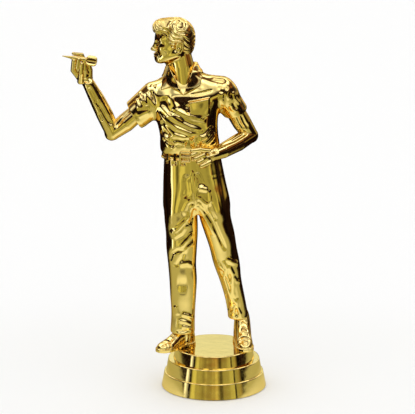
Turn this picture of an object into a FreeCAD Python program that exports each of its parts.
"""Figure trophy: a darts player standing on a three-tier round plinth.

Row frame: millimetres, +Z up, origin at the centre of the plinth's underside. The player's chest faces -Y
and the player looks and aims towards -X. The figure is made of mouldings that come apart like this, from the
ground up:

  plinth_shell            hollow three-tier plinth: nut boss, ribs and two screw bosses
  mounting_nut            1/4 in hex nut captive in the boss, for the rod of a trophy column
  foot_screws             two self-tapping screws that hold the shoes down
  right_shoe, left_shoe   solid mouldings, each with a round peg at the ankle
  right_trouser_leg, left_trouser_leg   hollow halves that meet at the centre seam
  belt, belt_buckle       band that hides the waist joint, and its buckle
  shirt_front_shell, shirt_rear_shell   hollow halves that clamp the waist spigot, the arms and the neck
  seam_dowels             six pins: four line the shirt halves up, two the trouser halves
  shirt_collar            ring that hides the neck joint
  head, right_arm, left_arm             solid mouldings on round pegs
  dart_body, dart_flight  the dart held in the right hand
"""

import FreeCAD, Part

import math
import os

import Sketcher
from FreeCAD import Placement, Rotation, Vector

doc = FreeCAD.newDocument("figure_trophy")
sheet = doc.addObject("Spreadsheet::Sheet", "Dimensions")
dimension = {}
sub_parts = []
X_AXIS, Y_AXIS, Z_AXIS = Vector(1, 0, 0), Vector(0, 1, 0), Vector(0, 0, 1)
# Reach of the blocks that trim other shapes: past every side of the figure.
FAR = 60.0


# ---------------------------------------------------------------- driving dimensions


def cell(alias, value, note=""):
    """Writes one plain number to the sheet under an alias."""
    row = len(dimension) + 1
    sheet.set(f"A{row}", note or alias.replace("_", " "))
    sheet.set(f"B{row}", f"{value:.4f}")
    sheet.setAlias(f"B{row}", alias)
    dimension[alias] = value


def cells(**values):
    for alias, value in values.items():
        cell(alias, value)


def point_cells(alias, x, y, z):
    """A place in the row frame, as three cells."""
    cell(f"{alias}_px", x)
    cell(f"{alias}_py", y)
    cell(f"{alias}_pz", z)


def point(alias):
    return Vector(*(dimension[f"{alias}_{c}"] for c in ("px", "py", "pz")))


def oval_cells(form, rows):
    """Cross-sections of a loft: name, centre x, y, z, half width and half depth. Returns their names."""
    for name, x, y, z, half_width, half_depth in rows:
        point_cells(f"{form}_{name}", x, y, z)
        cell(f"{form}_{name}_width", half_width)
        cell(f"{form}_{name}_depth", half_depth)
    return [f"{form}_{row[0]}" for row in rows]


def round_cells(form, rows):
    """Round cross-sections of a bare limb: name, centre x, y, z and radius. Returns their names."""
    for name, x, y, z, radius in rows:
        point_cells(f"{form}_{name}", x, y, z)
        cell(f"{form}_{name}_radius", radius)
    return [f"{form}_{row[0]}" for row in rows]


# Plinth: three tiers, counted from the top, whose sides flare towards the foot.
cells(
    tier_one_top=14.6,
    tier_two_top=10.4,
    tier_three_top=5.5,
    tier_one_radius=13.9,
    tier_two_radius=16.5,
    tier_three_radius=17.95,
    tier_one_flare=0.8,
    tier_two_flare=0.9,
    tier_three_flare=1.05,
    rim_round=0.4,
    plinth_wall=1.6,
    boss_radius=8.2,
    rib_thickness=1.2,
    rib_foot=3.0,
    rib_yaw=70.0,
    wall_bite=0.8,
)
# Hardware: a 1/4 in nut and two no. 2 self-tapping screws, 1/2 in long.
cells(
    nut_across_flats=11.1,
    nut_thickness=5.56,
    nut_thread_radius=2.6,
    nut_play=0.05,
    rod_clearance_radius=3.4,
    rod_clearance_top=12.4,
    screw_shank_radius=1.1,
    screw_length=12.7,
    screw_tip_length=1.2,
    screw_tip_radius=0.25,
    screw_head_radius=2.05,
    screw_head_height=1.3,
    screw_boss_radius=2.7,
    screw_boss_foot=5.6,
    screw_hole_radius=1.25,
)
# Skeleton of the standing player.
point_cells("right_ankle", -11.2, -0.4, 14.6)
point_cells("left_ankle", 9.9, 3.8, 14.6)
point_cells("right_shoulder", -22.0, 1.0, 107.4)
point_cells("right_palm", -46.2, -1.2, 115.6)
point_cells("left_shoulder", 6.4, 1.5, 108.0)
point_cells("left_wrist", -1.3, -8.9, 87.1)
point_cells("left_palm", -4.7, -10.1, 86.7)
point_cells("neck_root", -10.4, 0.8, 109.0)
point_cells("skull", -13.9, 0.9, 127.6)
point_cells("dart_tip", -53.6, -2.2, 122.1)
point_cells("dart_tail", -41.4, -2.2, 120.0)
cells(
    right_foot_yaw=-136.0,
    left_foot_yaw=-86.0,
    wall=1.3,
    play=0.05,
    ball_excess=0.08,
    centre_seam=-6.1,
    shirt_seam=1.2,
    waist_top=88.0,
    shirt_foot=88.2,
    peg_radius=2.1,
    peg_root=0.5,
    peg_reach=6.5,
    cuff_room=1.5,
    cuff_room_share=0.15,
    ankle_peg_radius=2.2,
    ankle_peg_reach=5.5,
    ankle_shaft_radius=3.1,
    ankle_hole_spare=0.2,
    heel_radius=2.7,
    heel_height=1.6,
    heel_setback=2.0,
    pilot_spare=0.3,
    neck_peg_radius=2.9,
    neck_peg_root=0.8,
    neck_peg_reach=5.0,
    neck_foot=3.65,
    neck_width=0.2,
    neck_low_radius=4.1,
    neck_high_radius=4.0,
    belt_foot=85.2,
    belt_thickness=0.7,
    buckle_width=3.6,
    buckle_thickness=1.2,
    buckle_overhang=0.3,
    spigot_width=6.0,
    spigot_depth=4.0,
    spigot_height=2.7,
    spigot_root=0.5,
    flange_height=1.2,
    flange_foot=1.6,
    flange_grow=1.0,
    dowel_radius=0.8,
    dowel_length=4.0,
    dowel_pad=1.0,
    pin_pad_reach=0.8,
    hem_block=4.5,
    shirt_cavity_top=109.4,
    collar_thickness=0.8,
    throat_low_width=0.6,
    throat_high_width=5.2,
    throat_depth=9.0,
    head_yaw=-6.0,
    dart_barrel_radius=1.0,
    dart_stem_radius=0.45,
    dart_point_length=3.0,
    dart_barrel_end=8.6,
    flight_gap=0.4,
    flight_overhang=0.2,
    flight_sleeve_radius=0.75,
    flight_reach=2.35,
    flight_thickness=0.4,
    finger_radius=0.8,
    thumb_radius=0.85,
    knuckle_excess=0.05,
    fist_radius=2.5,
    fist_finger_radius=0.6,
    fist_finger_pitch=1.34,
)

point_cells("buckle", -10.1, -6.1, 86.6)
point_cells("throat", -11.0, -0.2, 109.8)
# Pins across the trousers' centre seam: height of each pin.
SEAM_PINS = {"waist": 89.0, "fork": 64.6}
# Pins across the shirt's side seam.
DOWELS = ["right_waist_dowel", "left_waist_dowel", "right_chest_dowel", "left_chest_dowel"]
point_cells("right_waist_dowel", -17.4, dimension["shirt_seam"], 93.4)
point_cells("left_waist_dowel", -0.6, dimension["shirt_seam"], 93.4)
point_cells("right_chest_dowel", -20.0, dimension["shirt_seam"], 105.4)
point_cells("left_chest_dowel", 0.6, dimension["shirt_seam"], 105.6)

# Trousers, seen as horizontal ovals from the waist down.
PELVIS = oval_cells(
    "pelvis",
    [
        ("waist", -7.7, 0.8, 88.0, 10.1, 6.6),
        ("band", -7.7, 0.8, 85.0, 10.1, 6.6),
        ("hip", -6.9, 1.0, 77.0, 11.0, 7.2),
        ("seat", -6.3, 1.2, 69.0, 11.7, 7.4),
        ("fork", -6.1, 1.2, 62.5, 11.2, 6.6),
    ],
)
RIGHT_LEG = oval_cells(
    "right_leg",
    [
        ("root", -12.0, 0.8, 70.0, 5.8, 6.8),
        ("thigh", -11.9, 0.6, 58.0, 5.75, 6.1),
        ("knee", -11.6, 0.3, 47.0, 5.1, 5.2),
        ("calf", -11.2, 0.2, 36.0, 4.8, 5.0),
        ("shin", -11.1, -0.1, 27.0, 4.3, 4.6),
        ("hem", -11.3, -0.4, 19.6, 4.4, 4.8),
    ],
)
LEFT_LEG = oval_cells(
    "left_leg",
    [
        ("root", -0.2, 0.9, 70.0, 5.7, 6.8),
        ("thigh", 1.9, 0.9, 58.0, 5.5, 6.0),
        ("knee", 4.6, 1.3, 46.0, 4.8, 5.1),
        ("calf", 6.6, 2.2, 36.0, 4.0, 4.6),
        ("shin", 8.3, 3.0, 28.0, 3.6, 4.2),
        ("hem", 9.0, 3.6, 23.6, 3.6, 4.1),
    ],
)
# Shirt body, with fullness over the belt, its collar and the two sleeves.
TORSO = oval_cells(
    "torso",
    [
        ("foot", -8.6, 0.8, 88.2, 9.9, 6.5),
        ("blouse", -8.7, 0.8, 90.4, 10.3, 7.0),
        ("ribs", -9.4, 0.9, 98.0, 10.9, 7.3),
        ("chest", -9.6, 1.0, 104.5, 12.4, 7.6),
        ("yoke", -8.9, 1.1, 109.0, 13.6, 6.2),
        ("top", -9.4, 1.2, 112.6, 8.6, 4.2),
    ],
)
COLLAR = oval_cells(
    "collar",
    [
        ("foot", -10.6, 0.8, 112.65, 6.8, 5.7),
        ("fold", -10.8, 0.8, 115.0, 6.0, 5.4),
        ("top", -11.2, 0.9, 117.6, 5.5, 5.2),
    ],
)
RIGHT_SLEEVE = oval_cells(
    "right_sleeve",
    [
        ("root", -18.5, 1.0, 107.4, 5.0, 4.6),
        ("cap", -23.0, 1.0, 106.0, 4.6, 4.6),
        ("hem", -28.6, 0.8, 101.2, 4.5, 4.6),
    ],
)
LEFT_SLEEVE = oval_cells(
    "left_sleeve",
    [
        ("root", 2.2, 1.2, 108.8, 4.6, 4.4),
        ("cap", 6.0, 2.0, 106.4, 4.9, 4.7),
        ("hem", 8.3, 4.0, 101.2, 4.9, 4.8),
    ],
)
# Bare arms, each from its sleeve to the wrist.
RIGHT_UPPER_ARM = round_cells(
    "right_upper_arm",
    [
        ("cuff", -28.9, 0.7, 101.0, 3.4),
        ("biceps", -32.0, 0.6, 98.4, 3.4),
        ("elbow", -36.2, 0.4, 94.8, 2.9),
    ],
)
RIGHT_FOREARM = round_cells(
    "right_forearm",
    [
        ("elbow", -36.9, 0.3, 94.6, 2.9),
        ("bulk", -39.4, 0.0, 99.6, 2.7),
        ("wrist", -45.0, -1.0, 111.4, 2.0),
    ],
)
LEFT_UPPER_ARM = round_cells(
    "left_upper_arm",
    [
        ("cuff", 8.8, 4.5, 100.8, 3.4),
        ("biceps", 10.4, 6.0, 97.0, 3.3),
        ("elbow", 12.8, 8.2, 91.9, 2.8),
    ],
)
LEFT_FOREARM = round_cells(
    "left_forearm",
    [
        ("elbow", 12.7, 8.3, 91.5, 2.8),
        ("bulk", 10.0, 2.6, 90.5, 2.7),
        ("wrist", -1.3, -8.9, 87.1, 1.8),
    ],
)
# One shoe along its own length: x forward from the ankle, z up from the sole.
SHOE = oval_cells(
    "shoe",
    [
        ("heel", -3.9, 0.0, 1.6, 2.0, 2.6),
        ("ankle", 0.0, 0.0, 1.5, 2.9, 3.3),
        ("instep", 4.0, 0.0, 1.4, 3.0, 3.2),
        ("ball", 8.6, 0.0, 1.0, 3.3, 2.3),
        ("toe", 12.2, 0.0, 0.9, 1.9, 1.3),
    ],
)
doc.recompute()


# ---------------------------------------------------------------- small vocabulary


def formula(expression):
    """A sum of cells, such as 'tier_one_radius - plinth_wall', as the sheet's own names."""
    return " ".join(t if t in "+-" or t[0].isdigit() else f"Dimensions.{t}" for t in expression.split())


def bind(obj, **properties):
    """Binds properties of an object to cells of the sheet, or to sums of them."""
    for name, expression in properties.items():
        obj.setExpression(name, formula(expression))
    return obj


def add(kind, name, **properties):
    return bind(doc.addObject(kind, name), **properties)


def place(obj, base, rotation=None):
    obj.Placement = Placement(base, rotation or Rotation())
    return obj


def bind_place(obj, alias):
    """Moves an object's place to a point of the sheet and keeps it there."""
    for axis, suffix in (("x", "px"), ("y", "py"), ("z", "pz")):
        obj.setExpression(f"Placement.Base.{axis}", f"Dimensions.{alias}_{suffix}")
    return obj


def facing(direction, side=Y_AXIS):
    """Rotation whose Z lies along direction and whose X lies as near to side as it can."""
    z = Vector(direction).normalize()
    x = side - z * side.dot(z)
    return Rotation(x, z.cross(x), z, "ZXY")


def oval(station, rotation=None, grow=0.0):
    """Elliptical wire of one station, grown by the same amount all round."""
    wide, deep = dimension[f"{station}_width"], dimension[f"{station}_depth"]
    suffix = f" + {grow}" if grow >= 0 else f" - {-grow}"
    across = wide >= deep
    major, minor = ("width", "depth") if across else ("depth", "width")
    ellipse = add("Part::Ellipse", f"{station}_oval", MajorRadius=f"{station}_{major}{suffix}")
    bind(ellipse, MinorRadius=f"{station}_{minor}{suffix}")
    turn = Rotation(Z_AXIS, 0 if across else 90)
    place(ellipse, point(station), (rotation or Rotation()) * turn)
    return bind_place(ellipse, station)


def loft(name, stations, rotations=None, grow=0.0):
    """Solid through ovals. All ovals of one loft turn the same way, so that it doesn't twist."""
    form = add("Part::Loft", name)
    rotations = rotations or [None] * len(stations)
    form.Sections = [oval(s, r, grow) for s, r in zip(stations, rotations)]
    form.Solid, form.MaxDegree = True, 3
    return form


def limb(name, stations, side=Y_AXIS):
    """Loft whose ovals stand square to the line between its first and last station."""
    along = point(stations[-1]) - point(stations[0])
    turn = facing(along, side.cross(along))
    return loft(name, stations, [turn] * len(stations))


def taper(name, stations):
    """Round limb: a cone between each two stations, and a slightly fuller ball at all but the first."""
    parts = []
    for i, (lower, upper) in enumerate(zip(stations, stations[1:])):
        start, end = point(lower), point(upper)
        cone = add("Part::Cone", f"{name}_{i}", Radius1=f"{lower}_radius", Radius2=f"{upper}_radius")
        cone.Height = (end - start).Length
        parts.append(place(cone, start, facing(end - start)))
        ball = add("Part::Sphere", f"{name}_ball_{i}", Radius=f"{upper}_radius + ball_excess")
        parts.append(place(ball, end, facing(end - start)))
    return parts


def rod(name, start, end, radius):
    """Cylinder from one place to another, with a radius read from the sheet."""
    body = add("Part::Cylinder", name, Radius=radius)
    body.Height = (end - start).Length
    return place(body, start, facing(end - start))


def ellipsoid(name, centre, along, across, upright, rotation=None):
    """Ellipsoid with its three half sizes along X, Y and Z, turned by rotation."""
    body = add("Part::Ellipsoid", name)
    body.Radius1, body.Radius2, body.Radius3 = upright, along, across
    body.Angle1, body.Angle2, body.Angle3 = -90, 90, 360
    return place(body, centre, rotation)


def fuse(name, *shapes):
    whole = add("Part::MultiFuse", name)
    whole.Shapes = list(shapes)
    return whole


def cut(name, base, *tools):
    result = add("Part::Cut", name)
    result.Base = base
    result.Tool = tools[0] if len(tools) == 1 else fuse(f"{name}_tools", *tools)
    return result


def common(name, base, tool):
    result = add("Part::Common", name)
    result.Base, result.Tool = base, tool
    return result


def slab(name, low, high):
    """Box from its lowest corner to its highest."""
    size = high - low
    body = add("Part::Box", name)
    body.Length, body.Width, body.Height = size.x, size.y, size.z
    return place(body, low)


def sub_part(obj, label):
    """Marks an object as one piece of the trophy: its Label names its file."""
    obj.Label = label
    sub_parts.append(obj)
    return obj


def origin_plane(body, role):
    return next(f for f in body.Origin.OriginFeatures if f.Role == role)


def sketch_on(body, name, role, offset=0.0, yaw=0.0):
    """Sketch on an origin plane of its own body, raised along the plane's normal and turned about it."""
    sketch = body.newObject("Sketcher::SketchObject", name)
    sketch.AttachmentSupport = [(origin_plane(body, role), "")]
    sketch.MapMode = "FlatFace"
    sketch.AttachmentOffset = Placement(Vector(0, 0, offset), Rotation(Z_AXIS, yaw))
    return sketch


def hold(sketch, index, corner, place_xy, aliases):
    """Holds one point of a sketch at x and y, each read from the sheet unless it lies on an axis."""
    for axis, value, expression in zip(("X", "Y"), place_xy, aliases):
        if expression is None:
            on_axis = -2 if axis == "X" else -1
            sketch.addConstraint(Sketcher.Constraint("PointOnObject", index, corner, on_axis))
            continue
        number = sketch.addConstraint(Sketcher.Constraint(f"Distance{axis}", -1, 1, index, corner, value))
        sketch.setExpression(f"Constraints[{number}]", formula(expression))


def reading(expression):
    """Value of a sum of cells, such as 'tier_one_radius - plinth_wall'."""
    if expression is None:
        return 0.0
    total, sign = 0.0, 1
    for term in expression.split():
        if term in "+-":
            sign = 1 if term == "+" else -1
            continue
        total += sign * (float(term) if term[0].isdigit() else dimension[term])
    return total


def outline(sketch, corners):
    """Closed outline through corners, each an x and a y that are sums of cells, or None on an axis."""
    places = [(reading(x), reading(y)) for x, y in corners]
    count = len(places)
    for i, (x, y) in enumerate(places):
        to_x, to_y = places[(i + 1) % count]
        sketch.addGeometry(Part.LineSegment(Vector(x, y, 0), Vector(to_x, to_y, 0)))
    for i in range(count):
        sketch.addConstraint(Sketcher.Constraint("Coincident", i, 2, (i + 1) % count, 1))
    for i, aliases in enumerate(corners):
        hold(sketch, i, 1, places[i], aliases)


def circle(sketch, centre, radius_alias):
    """Circle whose radius is bound to a cell."""
    index = sketch.addGeometry(Part.Circle(Vector(*centre, 0), Z_AXIS, reading(radius_alias)))
    number = sketch.addConstraint(Sketcher.Constraint("Radius", index, reading(radius_alias)))
    sketch.setExpression(f"Constraints[{number}]", f"Dimensions.{radius_alias}")
    sketch.addConstraint(Sketcher.Constraint("DistanceX", -1, 1, index, 3, centre[0]))
    sketch.addConstraint(Sketcher.Constraint("DistanceY", -1, 1, index, 3, centre[1]))


def feature(body, kind, name, sketch, **properties):
    """PartDesign feature made from a sketch of the same body."""
    step = body.newObject(kind, name)
    step.Profile = sketch
    bind(step, **properties)
    return step


def revolve(body, name, corners):
    """Body of revolution about the body's own Z axis, from an outline in its XZ plane."""
    sketch = sketch_on(body, f"{name}_outline", "XZ_Plane")
    outline(sketch, corners)
    turned = feature(body, "PartDesign::Revolution", name, sketch)
    turned.ReferenceAxis = (sketch, ["V_Axis"])
    turned.Angle = 360
    return turned


def pocket_up(body, name, sketch, **properties):
    """Pocket that cuts upwards from its sketch, checked to have removed something."""
    before = body.Shape.Volume
    step = feature(body, "PartDesign::Pocket", name, sketch, **properties)
    step.Reversed = True
    doc.recompute()
    assert body.Shape.Volume < before - 1e-6, f"{name} cuts nothing"
    return step


def closed_outline(sketch, corners):
    """Closed outline of straight lines through plain corners."""
    for (x, y), (to_x, to_y) in zip(corners, corners[1:] + corners[:1]):
        sketch.addGeometry(Part.LineSegment(Vector(x, y, 0), Vector(to_x, to_y, 0)))


def hexagon(sketch, across_flats):
    """Regular hexagon about the origin."""
    radius = across_flats / math.sqrt(3)
    angles = [math.radians(a) for a in range(0, 360, 60)]
    closed_outline(sketch, [(radius * math.cos(a), radius * math.sin(a)) for a in angles])


# ---------------------------------------------------------------- plinth and hardware


def plinth_shell():
    """Hollow plinth. Its boss, ribs and screw bosses end inside the wall of the top face."""
    body = doc.addObject("PartDesign::Body", "plinth")
    revolve(
        body,
        "tiers",
        [
            ("tier_three_radius + tier_three_flare", None),
            ("tier_three_radius", "tier_three_top"),
            ("tier_two_radius + tier_two_flare", "tier_three_top"),
            ("tier_two_radius", "tier_two_top"),
            ("tier_one_radius + tier_one_flare", "tier_two_top"),
            ("tier_one_radius", "tier_one_top"),
            (None, "tier_one_top"),
            (None, None),
            ("boss_radius", None),
            ("boss_radius", "tier_one_top - plinth_wall"),
            ("tier_one_radius - plinth_wall", "tier_one_top - plinth_wall"),
            ("tier_one_radius - plinth_wall", "tier_two_top - plinth_wall"),
            ("tier_two_radius - plinth_wall", "tier_two_top - plinth_wall"),
            ("tier_two_radius - plinth_wall", "tier_three_top - plinth_wall"),
            ("tier_three_radius - plinth_wall", "tier_three_top - plinth_wall"),
            ("tier_three_radius - plinth_wall", None),
        ],
    )
    doc.recompute()
    rib_sketch = sketch_on(body, "rib_outline", "XY_Plane", dimension["rib_foot"], dimension["rib_yaw"])
    start = reading("boss_radius - wall_bite")
    end = reading("tier_one_radius - plinth_wall + wall_bite")
    half = dimension["rib_thickness"] / 2
    closed_outline(rib_sketch, [(start, -half), (end, -half), (end, half), (start, half)])
    rib = feature(body, "PartDesign::Pad", "rib", rib_sketch, Length="tier_one_top - wall_bite - rib_foot")
    doc.recompute()
    ribs = body.newObject("PartDesign::PolarPattern", "ribs")
    ribs.Originals = [rib]
    ribs.Axis = (rib_sketch, ["N_Axis"])
    ribs.Angle = 360
    ribs.Occurrences = 4
    body.Tip = ribs
    doc.recompute()
    for side in ("right", "left"):
        ankle = point(f"{side}_ankle")
        boss_sketch = sketch_on(body, f"{side}_boss_outline", "XY_Plane", dimension["screw_boss_foot"])
        circle(boss_sketch, (ankle.x, ankle.y), "screw_boss_radius")
        boss = feature(body, "PartDesign::Pad", f"{side}_screw_boss", boss_sketch)
        bind(boss, Length="tier_one_top - wall_bite - screw_boss_foot")
    doc.recompute()
    for side in ("right", "left"):
        ankle = point(f"{side}_ankle")
        hole_sketch = sketch_on(body, f"{side}_hole_outline", "XY_Plane")
        circle(hole_sketch, (ankle.x, ankle.y), "screw_hole_radius")
        pocket_up(body, f"{side}_screw_hole", hole_sketch, Length="tier_one_top + wall_bite")
    nut_sketch = sketch_on(body, "nut_pocket_outline", "XY_Plane")
    hexagon(nut_sketch, dimension["nut_across_flats"] + 2 * dimension["nut_play"])
    pocket_up(body, "nut_pocket", nut_sketch, Length="nut_thickness + nut_play")
    rod_sketch = sketch_on(body, "rod_clearance_outline", "XY_Plane")
    circle(rod_sketch, (0, 0), "rod_clearance_radius")
    last_cut = pocket_up(body, "rod_clearance", rod_sketch, Length="rod_clearance_top")
    rims = [f"Edge{i}" for i, edge in enumerate(body.Shape.Edges, 1) if is_rim(edge)]
    softened = body.newObject("PartDesign::Fillet", "rounded_rims")
    softened.Base = (last_cut, rims)
    bind(softened, Radius="rim_round")
    doc.recompute()
    sub_part(body, "plinth_shell")


def is_rim(edge):
    """True for the upper outer edge of each tier."""
    if not isinstance(edge.Curve, Part.Circle):
        return False
    spot = (round(edge.Curve.Radius, 3), round(edge.Curve.Center.z, 3))
    tiers = [(f"{t}_radius", f"{t}_top") for t in ("tier_one", "tier_two", "tier_three")]
    rims = [(round(dimension[r], 3), round(dimension[z], 3)) for r, z in tiers]
    return spot in rims


def mounting_nut():
    body = doc.addObject("PartDesign::Body", "nut")
    hex_sketch = sketch_on(body, "hexagon", "XY_Plane")
    hexagon(hex_sketch, dimension["nut_across_flats"])
    feature(body, "PartDesign::Pad", "hex_block", hex_sketch, Length="nut_thickness")
    doc.recompute()
    thread_sketch = sketch_on(body, "thread_outline", "XY_Plane")
    circle(thread_sketch, (0, 0), "nut_thread_radius")
    pocket_up(body, "thread_bore", thread_sketch, Length="nut_thickness + nut_play")
    sub_part(body, "mounting_nut")


def foot_screws():
    """Two identical pan-head self-tapping screws, one under each ankle."""
    seat = dimension["screw_boss_foot"]
    screws = []
    for side in ("right", "left"):
        foot = point(f"{side}_ankle")
        cap = add("Part::Cylinder", f"{side}_screw_head", Radius="screw_head_radius")
        bind(cap, Height="screw_head_height")
        place(cap, Vector(foot.x, foot.y, reading("screw_boss_foot - screw_head_height")))
        shank = add("Part::Cylinder", f"{side}_screw_shank", Radius="screw_shank_radius")
        bind(shank, Height="screw_length - screw_tip_length")
        place(shank, Vector(foot.x, foot.y, seat))
        tip = add("Part::Cone", f"{side}_screw_tip", Radius1="screw_shank_radius", Radius2="screw_tip_radius")
        bind(tip, Height="screw_tip_length")
        place(tip, Vector(foot.x, foot.y, reading("screw_boss_foot + screw_length - screw_tip_length")))
        screws.append(fuse(f"{side}_screw", cap, shank, tip))
    pair = add("Part::Compound", "screw_pair")
    pair.Links = screws
    sub_part(pair, "foot_screws")


# ---------------------------------------------------------------- shoes and trousers


def shoe(side, hem):
    """Shoe in its own frame, then turned and set down at its ankle. Its shaft ends under the trouser hem."""
    along = facing(X_AXIS, Y_AXIS)
    upper = loft(f"{side}_upper", SHOE, [along] * len(SHOE))
    shaft = add("Part::Cylinder", f"{side}_shaft", Radius="ankle_shaft_radius")
    bind(shaft, Height=f"{hem}_pz - {side}_ankle_pz - play")
    peg = add("Part::Cylinder", f"{side}_ankle_peg", Radius="ankle_peg_radius")
    bind(peg, Height=f"{hem}_pz - {side}_ankle_pz + ankle_peg_reach")
    heel = add("Part::Cylinder", f"{side}_heel", Radius="heel_radius", Height="heel_height")
    place(heel, Vector(-dimension["heel_setback"], 0, 0))
    whole = fuse(f"{side}_whole_shoe", upper, shaft, peg, heel)
    ground = slab(f"{side}_ground", Vector(-FAR, -FAR, -FAR), Vector(FAR, FAR, 0))
    pilot = add("Part::Cylinder", f"{side}_pilot_hole", Radius="screw_shank_radius")
    bind(pilot, Height="screw_length + screw_boss_foot - tier_one_top + pilot_spare")
    shaped = cut(f"{side}_shoe_body", whole, ground, pilot)
    place(shaped, point(f"{side}_ankle"), Rotation(Z_AXIS, dimension[f"{side}_foot_yaw"]))
    bind_place(shaped, f"{side}_ankle")
    sub_part(shaped, f"{side}_shoe")


def level(name, low_z, high_z):
    """Block that fills every level from one height to another."""
    return slab(name, Vector(-FAR, -FAR, low_z), Vector(FAR, FAR, high_z))


def trouser_leg(side, stations, low_x, high_x):
    """Half of the trousers: one leg and its half of the seat, hollow and open at the centre seam."""
    wall, waist = dimension["wall"], dimension["waist_top"]
    ankle, hem = point(f"{side}_ankle"), point(stations[-1])
    outside = fuse(f"{side}_outside", loft(f"{side}_seat", PELVIS), loft(f"{side}_tube", stations))
    spigot_foot = waist - dimension["spigot_root"]
    flange_foot = waist + dimension["flange_foot"]
    spigot_height = reading("spigot_root + spigot_height")
    spigot = spigot_oval(f"{side}_spigot", 0.0, spigot_foot, spigot_height)
    flange = spigot_oval(f"{side}_flange", dimension["flange_grow"], flange_foot, dimension["flange_height"])
    half = slab(f"{side}_half", Vector(low_x, -FAR, hem.z), Vector(high_x, FAR, waist + FAR))
    solid = common(f"{side}_half_solid", fuse(f"{side}_with_spigot", outside, spigot, flange), half)
    fork_z = dimension["pelvis_fork_pz"]
    fork_floor = level(f"{side}_fork_floor", fork_z - wall, fork_z + wall)
    seat_core = cut(f"{side}_seat_hollow", loft(f"{side}_seat_core", PELVIS, grow=-wall), fork_floor)
    core = fuse(f"{side}_core", seat_core, loft(f"{side}_tube_core", stations, grow=-wall))
    core_top = level(f"{side}_core_top", waist - wall, waist + FAR)
    core_foot = level(f"{side}_core_foot", hem.z - wall, hem.z + dimension["hem_block"])
    pad_ends = seam_pin_ends("fork", dimension["pin_pad_reach"])
    pin_pad = rod(f"{side}_pin_pad", *pad_ends, "dowel_radius + dowel_pad")
    trimmed = cut(f"{side}_trimmed_core", core, core_top, core_foot, pin_pad)
    ankle_hole = add("Part::Cylinder", f"{side}_ankle_hole", Radius="ankle_peg_radius + play")
    bind(ankle_hole, Height="wall + ankle_peg_reach + ankle_hole_spare")
    place(ankle_hole, Vector(ankle.x, ankle.y, hem.z - wall))
    holes = [rod(f"{side}_{name}_pin_hole", *seam_pin_ends(name), "dowel_radius") for name in SEAM_PINS]
    sub_part(cut(f"{side}_leg_shell", solid, trimmed, ankle_hole, *holes), f"{side}_trouser_leg")


def seam_pin_ends(name, extra=0.0):
    """Ends of a pin that crosses the trousers' centre seam."""
    middle = Vector(dimension["centre_seam"], dimension["pelvis_waist_py"], SEAM_PINS[name])
    reach = X_AXIS * (dimension["dowel_length"] / 2 + extra)
    return middle - reach, middle + reach


def upright_oval(name, centre, wide, deep, height):
    """Upright block with an oval outline, wider along X than along Y."""
    edge = add("Part::Ellipse", f"{name}_edge")
    edge.MajorRadius, edge.MinorRadius = wide, deep
    place(edge, centre)
    block = add("Part::Extrusion", name)
    block.Base, block.Dir, block.Solid = edge, Z_AXIS, True
    block.LengthFwd = height
    return block


def spigot_oval(name, grow, foot, height):
    """Oval block on the trousers' top that the shirt shells clamp."""
    centre = Vector(dimension["pelvis_waist_px"], dimension["pelvis_waist_py"], foot)
    wide, deep = dimension["spigot_width"] + grow, dimension["spigot_depth"] + grow
    return upright_oval(name, centre, wide, deep, height)


def belt():
    """Band over the waist joint, and its buckle on the front."""
    foot, top = dimension["belt_foot"], dimension["waist_top"]
    wide, deep = dimension["pelvis_waist_width"], dimension["pelvis_waist_depth"]
    centre = Vector(dimension["pelvis_waist_px"], dimension["pelvis_waist_py"], foot)
    play, thickness = dimension["play"], dimension["belt_thickness"]
    height = top - foot - play
    outside = upright_oval("belt_outside", centre, wide + play + thickness, deep + play + thickness, height)
    inside = upright_oval("belt_inside", centre, wide + play, deep + play, height)
    sub_part(cut("belt_band", outside, inside), "belt")
    half_width = dimension["buckle_width"] / 2
    middle = point("buckle")
    overhang = dimension["buckle_overhang"]
    low = Vector(middle.x - half_width, middle.y - dimension["buckle_thickness"], foot - overhang)
    high = Vector(middle.x + half_width, middle.y, top - 2 * play)
    sub_part(cut("buckle", slab("buckle_block", low, high), outside), "belt_buckle")


# ---------------------------------------------------------------- shirt


def peg_line(side):
    """Where an arm's peg starts and ends inside its sleeve."""
    cuff, root = point(f"{side}_upper_arm_cuff"), point(f"{side}_shoulder")
    inward = (root - cuff).normalize()
    return cuff - inward * dimension["peg_root"], cuff + inward * dimension["peg_reach"]


def shirt_outside():
    """Shirt body with both sleeves, as one solid."""
    sleeves = [limb("right_sleeve", RIGHT_SLEEVE), limb("left_sleeve", LEFT_SLEEVE)]
    return fuse("shirt_outside", loft("torso", TORSO), *sleeves)


def arm_bores(side):
    """Bore for an arm's peg, with a wider mouth at the sleeve's hem."""
    start, end = peg_line(side)
    mouth_end = start + (end - start) * dimension["cuff_room_share"]
    mouth = rod(f"{side}_cuff_room", start, mouth_end, "peg_radius + cuff_room")
    return [rod(f"{side}_sleeve_bore", start, end, "peg_radius + play"), mouth]


def dowel_ends(name, reach):
    """Ends of a dowel or its pad across the shirt's seam."""
    middle = point(name)
    return middle - Y_AXIS * reach, middle + Y_AXIS * reach


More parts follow.
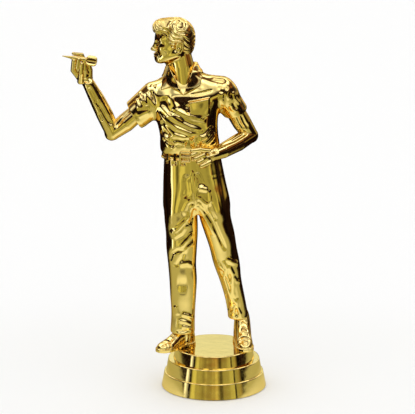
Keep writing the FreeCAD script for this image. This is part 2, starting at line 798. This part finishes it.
def shirt_shells():
    """Front and rear halves that part on one upright plane and clamp the arms, the neck and the waist."""
    wall, play, foot = dimension["wall"], dimension["play"], dimension["shirt_foot"]
    floor = level("shirt_floor", foot - FAR, foot + wall)
    roof = level("shirt_roof", dimension["shirt_cavity_top"], FAR * 3)
    pad_reach = dimension["dowel_length"] / 2 + dimension["dowel_pad"]
    pads = [rod(f"{name}_pad", *dowel_ends(name, pad_reach), "dowel_radius + dowel_pad") for name in DOWELS]
    hollow = cut("shirt_hollow", loft("torso_core", TORSO, grow=-wall), floor, roof, *pads)
    waist_hole = spigot_oval("waist_hole", play, foot - wall, 3 * wall)
    neck = point("neck_root")
    neck_top = neck + Z_AXIS * (dimension["neck_peg_reach"] + wall)
    neck_bore = rod("neck_bore", neck - Z_AXIS * wall, neck_top, "neck_peg_radius + play")
    half_length = dimension["dowel_length"] / 2
    holes = [rod(f"{name}_hole", *dowel_ends(name, half_length), "dowel_radius") for name in DOWELS]
    bores = arm_bores("right") + arm_bores("left")
    shell = cut("shirt_shell", shirt_outside(), hollow, waist_hole, neck_bore, *bores, *holes)
    seam = dimension["shirt_seam"]
    front_half = slab("front_half", Vector(-FAR, -FAR, 0), Vector(FAR, seam, 3 * FAR))
    rear_half = slab("rear_half", Vector(-FAR, seam, 0), Vector(FAR, FAR, 3 * FAR))
    sub_part(common("shirt_front", shell, front_half), "shirt_front_shell")
    sub_part(common("shirt_rear", shell, rear_half), "shirt_rear_shell")


def seam_dowels():
    """Four pins across the shirt's seam and two across the trousers' centre seam."""
    half_length = dimension["dowel_length"] / 2
    pins = [rod(name, *dowel_ends(name, half_length), "dowel_radius") for name in DOWELS]
    pins += [rod(f"{name}_seam_pin", *seam_pin_ends(name), "dowel_radius") for name in SEAM_PINS]
    group = add("Part::Compound", "dowel_set")
    group.Links = pins
    sub_part(group, "seam_dowels")


def shirt_collar():
    """Stand of the turned-down collar: a band that narrows upwards, open in a V at the throat."""
    rings = []
    for name, grow in (("collar_outside", 0.0), ("collar_inside", -dimension["collar_thickness"])):
        rings.append(loft(name, COLLAR, grow=grow))
    throat = add("Part::Wedge", "throat")
    low, high = dimension["throat_low_width"], dimension["throat_high_width"]
    depth = dimension["throat_depth"]
    throat.Xmin, throat.Xmax, throat.X2min, throat.X2max = -low, low, -high, high
    throat.Ymin, throat.Ymax = 0, depth
    throat.Zmin, throat.Zmax, throat.Z2min, throat.Z2max = 0, depth, 0, depth
    place(throat, point("throat"), Rotation(X_AXIS, 90))
    sub_part(cut("collar_ring", *rings, throat), "shirt_collar")


# ---------------------------------------------------------------- head, arms and dart


def head():
    """Head turned towards -X, with short hair, on a neck that ends in a round peg."""
    root, skull = point("neck_root"), point("skull")
    turn = Rotation(Z_AXIS, 180 - dimension["head_yaw"])

    def at(forward, side, up):
        return skull + turn.multVec(Vector(forward, side, up))

    pieces = [
        ellipsoid("cranium", at(0, 0, 0.6), 7.2, 5.6, 7.2, turn),
        ellipsoid("hair_cap", at(-0.5, 0, 1.6), 7.2, 5.9, 6.5, turn),
        ellipsoid("jaw", at(3.0, 0, -4.4), 3.9, 3.9, 4.6, turn),
        ellipsoid("brow", at(4.2, 0, 0.4), 3.0, 4.2, 4.6, turn),
        ellipsoid("nose", at(6.5, 0, -1.4), 1.7, 1.0, 1.8, turn),
        ellipsoid("right_ear", at(0.0, -5.2, -1.4), 1.3, 0.8, 1.9, turn),
        ellipsoid("left_ear", at(0.0, 5.2, -1.4), 1.3, 0.8, 1.9, turn),
    ]
    neck = add("Part::Loft", "neck")
    sections = []
    for name, spot in (("low", root + Z_AXIS * dimension["neck_foot"]), ("high", at(-0.8, 0, -4.0))):
        edge = add("Part::Ellipse", f"neck_{name}", MinorRadius=f"neck_{name}_radius")
        bind(edge, MajorRadius=f"neck_{name}_radius + neck_width")
        sections.append(place(edge, spot))
    neck.Sections, neck.Solid = sections, True
    peg_foot = root - Z_AXIS * dimension["neck_peg_root"]
    peg_top = root + Z_AXIS * dimension["neck_peg_reach"]
    peg = rod("neck_peg", peg_foot, peg_top, "neck_peg_radius")
    sub_part(fuse("head_and_neck", *pieces, neck, peg), "head")


def finger(name, joints, radius):
    """Chain of segments with a slightly fuller ball at each joint and at the tip."""
    parts = []
    for i, (start, end) in enumerate(zip(joints, joints[1:])):
        parts.append(rod(f"{name}_{i}", start, end, radius))
        knuckle = add("Part::Sphere", f"{name}_knuckle_{i}", Radius=f"{radius} + knuckle_excess")
        parts.append(place(knuckle, end, facing(end - start)))
    return parts


def right_arm():
    """Throwing arm: bent at the elbow, with the hand upright and pinching the dart."""
    start, end = peg_line("right")
    parts = [rod("right_peg", start, end, "peg_radius")]
    parts += taper("right_upper", RIGHT_UPPER_ARM)
    parts += taper("right_fore", RIGHT_FOREARM)
    palm = point("right_palm")
    lean = facing(Vector(-0.25, 0, 1), X_AXIS)
    parts.append(ellipsoid("right_hand", palm, 2.9, 1.9, 4.6, lean))
    grip = palm + Vector(0.6, -0.9, 5.0)
    for i in range(3):
        root = palm + Vector(-1.9 + 0.9 * i, 0.5, 1.6)
        tip = grip + Vector(-2.2 + 1.5 * i, 0.9, -0.4)
        bend = (root + tip) / 2 + Vector(-0.4, 0.5, 0.4)
        parts += finger(f"right_finger_{i}", [root, bend, tip], "finger_radius")
    thumb = [palm + Vector(2.0, -0.6, -1.0), palm + Vector(1.8, -1.6, 2.0), grip + Vector(0.2, -1.2, 0)]
    parts += finger("right_thumb", thumb, "thumb_radius")
    tip_end, tail = point("dart_tip"), point("dart_tail")
    bore = rod("dart_bore", tip_end, tail, "dart_barrel_radius + play")
    flight_foot = tip_end + (tail - tip_end).normalize() * dimension["dart_barrel_end"]
    flight_room = rod("flight_room", flight_foot, tail, "flight_reach + play")
    sub_part(cut("right_arm_body", fuse("right_arm_whole", *parts), bore, flight_room), "right_arm")


def left_arm():
    """Arm held akimbo: the hand is closed in front of the belt."""
    parts = [rod("left_peg", *peg_line("left"), "peg_radius")]
    parts += taper("left_upper", LEFT_UPPER_ARM)
    parts += taper("left_fore", LEFT_FOREARM)
    palm = point("left_palm")
    along = (palm - point("left_wrist")).normalize()
    fist = add("Part::Sphere", "left_fist", Radius="fist_radius")
    parts.append(place(fist, palm, facing(along)))
    for i in range(4):
        root = palm + along * 0.9 + Vector(0.3, -0.6, 1.8 - dimension["fist_finger_pitch"] * i)
        parts += finger(f"left_finger_{i}", [root, root + Vector(-1.7, -0.5, -0.2)], "fist_finger_radius")
    sub_part(fuse("left_arm_body", *parts), "left_arm")


def dart():
    """Dart with a sharp point, a gripped barrel and a stem that carries the flight."""
    tip_end, tail = point("dart_tip"), point("dart_tail")
    length = (tail - tip_end).Length
    cell("dart_length", length)
    body = doc.addObject("PartDesign::Body", "dart")
    revolve(
        body,
        "dart_form",
        [
            (None, None),
            ("dart_barrel_radius - 0.35", "dart_point_length"),
            ("dart_barrel_radius", "dart_point_length + 1.4"),
            ("dart_barrel_radius", "dart_barrel_end - 0.6"),
            ("dart_stem_radius", "dart_barrel_end"),
            ("dart_stem_radius", "dart_length"),
            (None, "dart_length"),
        ],
    )
    doc.recompute()
    place(body, tip_end, facing(tail - tip_end, Z_AXIS))
    sub_part(body, "dart_body")
    flight_foot = reading("dart_barrel_end + flight_gap")
    flight_length = length - flight_foot + dimension["flight_overhang"]
    sleeve = add("Part::Cylinder", "flight_sleeve", Radius="flight_sleeve_radius")
    sleeve.Height = flight_length
    reach, half, fins = dimension["flight_reach"], dimension["flight_thickness"] / 2, []
    for i, yaw in enumerate((0, 90)):
        turn = Rotation(Z_AXIS, yaw)
        fin = slab(f"fin_{i}", Vector(-reach, -half, 0), Vector(reach, half, flight_length))
        fins.append(place(fin, turn.multVec(Vector(-reach, -half, 0)), turn))
    bore = add("Part::Cylinder", "flight_bore", Radius="dart_stem_radius + 0.01")
    bore.Height = flight_length
    flight = cut("flight", fuse("flight_whole", sleeve, *fins), bore)
    turn = facing(tail - tip_end, Z_AXIS) * Rotation(Z_AXIS, 45)
    place(flight, tip_end + (tail - tip_end).normalize() * flight_foot, turn)
    sub_part(flight, "dart_flight")


# ---------------------------------------------------------------- build and write


def check():
    """Stops the build if an object failed or a piece isn't made of sound solids."""
    doc.recompute()
    failed = [o.Name for o in doc.Objects if set(o.State) & {"Invalid", "Error"}]
    assert not failed, f"failed objects: {failed}"
    for piece in sub_parts:
        shape = piece.Shape
        assert not shape.isNull() and shape.isValid() and shape.Solids, f"{piece.Label} has no sound shape"


def write():
    os.makedirs("parts", exist_ok=True)
    for piece in sub_parts:
        shape = piece.Shape
        shape.exportStep(f"parts/{piece.Label}.step")
        box = shape.BoundBox
        heights = f"z {box.ZMin:6.1f} to {box.ZMax:6.1f}"
        print(f"{piece.Label:20s} solids {len(shape.Solids)}  volume {shape.Volume:9.1f}  {heights}")


plinth_shell()
mounting_nut()
foot_screws()
shoe("right", "right_leg_hem")
shoe("left", "left_leg_hem")
trouser_leg("right", RIGHT_LEG, -FAR, dimension["centre_seam"])
trouser_leg("left", LEFT_LEG, dimension["centre_seam"], FAR)
belt()
shirt_shells()
seam_dowels()
shirt_collar()
head()
right_arm()
left_arm()
dart()
check()
write()
